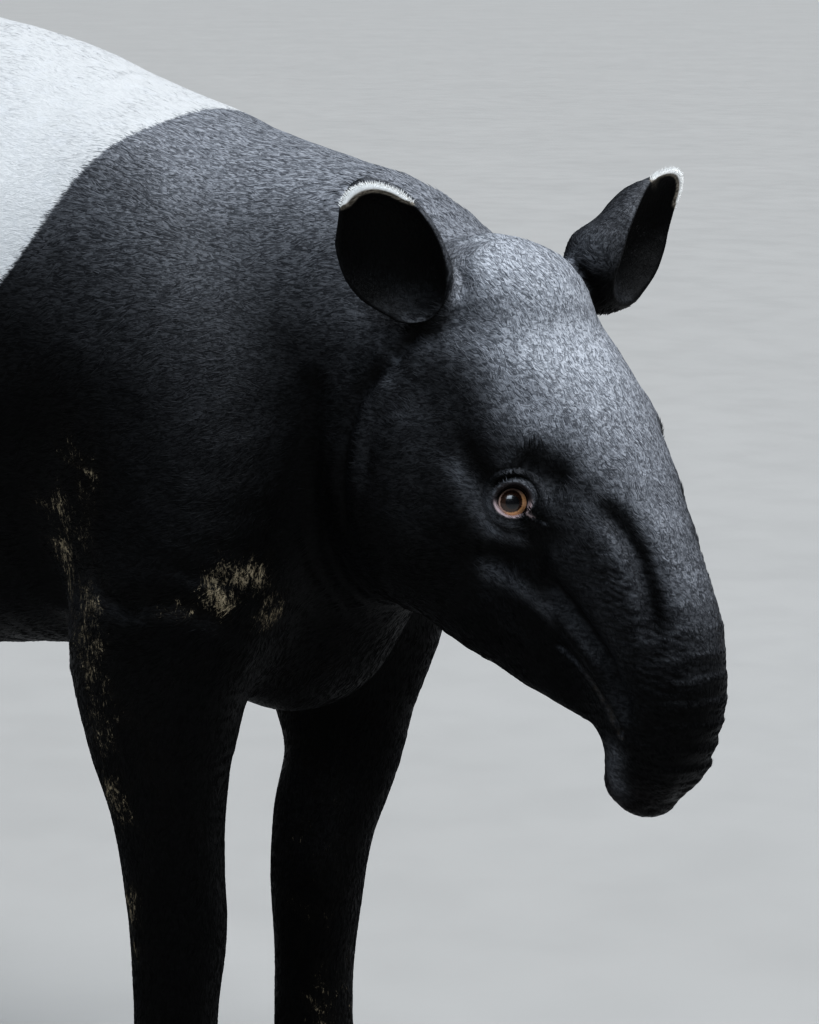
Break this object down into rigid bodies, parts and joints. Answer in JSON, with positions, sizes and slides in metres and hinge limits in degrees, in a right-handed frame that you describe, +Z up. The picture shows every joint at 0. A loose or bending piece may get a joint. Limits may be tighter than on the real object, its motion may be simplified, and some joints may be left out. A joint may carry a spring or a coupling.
{
  "type": "malayan tapir",
  "caption": "Life-size still model of an adult tapir standing, head low and turned to its right, black with a pale saddle.",
  "frame": {"origin": "middle of the box round the whole animal, on the floor under its feet", "axes": "+X the way the trunk points, from rump to chest; +Y to the animal's left; +Z up"},
  "size_m": [1.8318, 0.5504, 1.1554],
  "materials": {
    "coat_black": "short sleek black fur",
    "coat_saddle": "short pale grey to white fur, black on the shoulders and underneath",
    "hoof": "dull dark horn",
    "eye": "wet dark brown"
  },
  "bodies": {
    "root": {"trunk": "coat_saddle", "tail": "coat_saddle", "head": "coat_black", "proboscis": "coat_black", "lower_jaw": "coat_black", "neck": "coat_black", "ear_right": "coat_black", "ear_left": "coat_black", "leg_front_right_upper": "coat_black", "leg_front_right_lower": "coat_black", "leg_front_left_upper": "coat_black", "leg_front_left_lower": "coat_black", "leg_hind_right_upper": "coat_black", "leg_hind_right_lower": "coat_black", "leg_hind_left_upper": "coat_black", "leg_hind_left_lower": "coat_black", "foot_front_right": "coat_black", "foot_front_left": "coat_black", "foot_hind_right": "coat_black", "foot_hind_left": "coat_black", "hoof_front_right_outer": "hoof", "hoof_front_right_left": "hoof", "hoof_front_right_middle": "hoof", "hoof_front_right_right": "hoof", "hoof_front_left_outer": "hoof", "hoof_front_left_left": "hoof", "hoof_front_left_middle": "hoof", "hoof_front_left_right": "hoof", "hoof_hind_right_left": "hoof", "hoof_hind_right_middle": "hoof", "hoof_hind_right_right": "hoof", "hoof_hind_left_left": "hoof", "hoof_hind_left_middle": "hoof", "hoof_hind_left_right": "hoof", "eye_right": "eye", "eye_left": "eye"}
  },
  "joints": []
}
